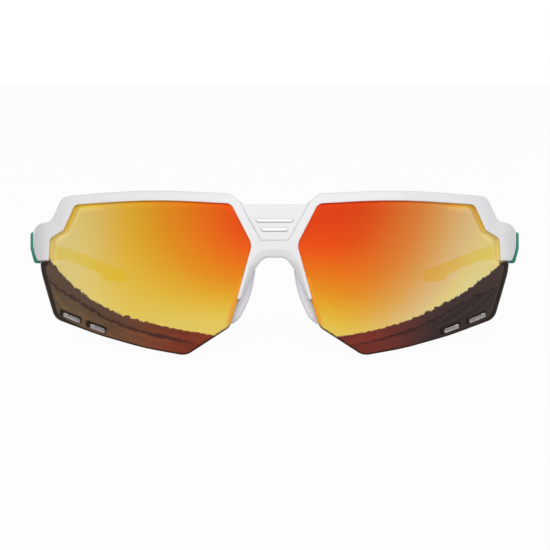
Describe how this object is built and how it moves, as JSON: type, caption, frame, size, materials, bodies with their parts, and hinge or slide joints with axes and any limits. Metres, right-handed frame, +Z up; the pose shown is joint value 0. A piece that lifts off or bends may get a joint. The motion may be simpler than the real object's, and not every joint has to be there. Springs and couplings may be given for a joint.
{
  "type": "sports sunglasses",
  "caption": "Wraparound half-rim sports sunglasses with vented mirrored lenses, a slotted bridge, soft nose pads and folding temples that end in soft tips.",
  "frame": {"origin": "bottom centre of the bounding box: on the surface that the glasses stand on, midway between the temples", "axes": "+X to the wearer's left, +Y back from the lenses to the temple tips, +Z up; the glasses stand open on their lens feet and temple tips, tipped back 7.7 degrees from their worn position"},
  "size_m": [0.1422, 0.1563, 0.0454],
  "materials": {
    "frame": "satin white injection-moulded nylon",
    "lens": "polycarbonate with an orange to gold mirror coating, clear in the vents' walls",
    "pad": "pale grey soft rubber, matte",
    "hinge": "stamped stainless steel",
    "screw": "turned stainless steel",
    "temple": "satin teal injection-moulded nylon",
    "tip": "soft-touch teal rubber, matte",
    "wire": "bendable steel core wire"
  },
  "bodies": {
    "front": {"front_frame": "frame", "lens_left": "lens", "lens_right": "lens", "nose_pad_left": "pad", "nose_pad_right": "pad", "hinge_bracket_left": "hinge", "hinge_bracket_right": "hinge", "bracket_screw_left": "screw", "bracket_screw_right": "screw", "hinge_screw_left": "screw", "hinge_screw_right": "screw"},
    "temple_left": {"hinge_leaf_left": "hinge", "leaf_screws_left": "screw", "temple_arm_left": "temple", "temple_tip_left": "tip", "tip_wire_left": "wire"},
    "temple_right": {"hinge_leaf_right": "hinge", "leaf_screws_right": "screw", "temple_arm_right": "temple", "temple_tip_right": "tip", "tip_wire_right": "wire"}
  },
  "joints": [
    {"name": "fold_left", "type": "hinge", "parent": "front", "child": "temple_left", "pos_m": [0.0662, -0.04051, 0.0261], "axis": [0, 0.1339, 0.991], "range_deg": [0, 88]},
    {"name": "fold_right", "type": "hinge", "parent": "front", "child": "temple_right", "pos_m": [-0.0662, -0.04051, 0.0261], "axis": [0, -0.1339, -0.991], "range_deg": [0, 80]}
  ]
}
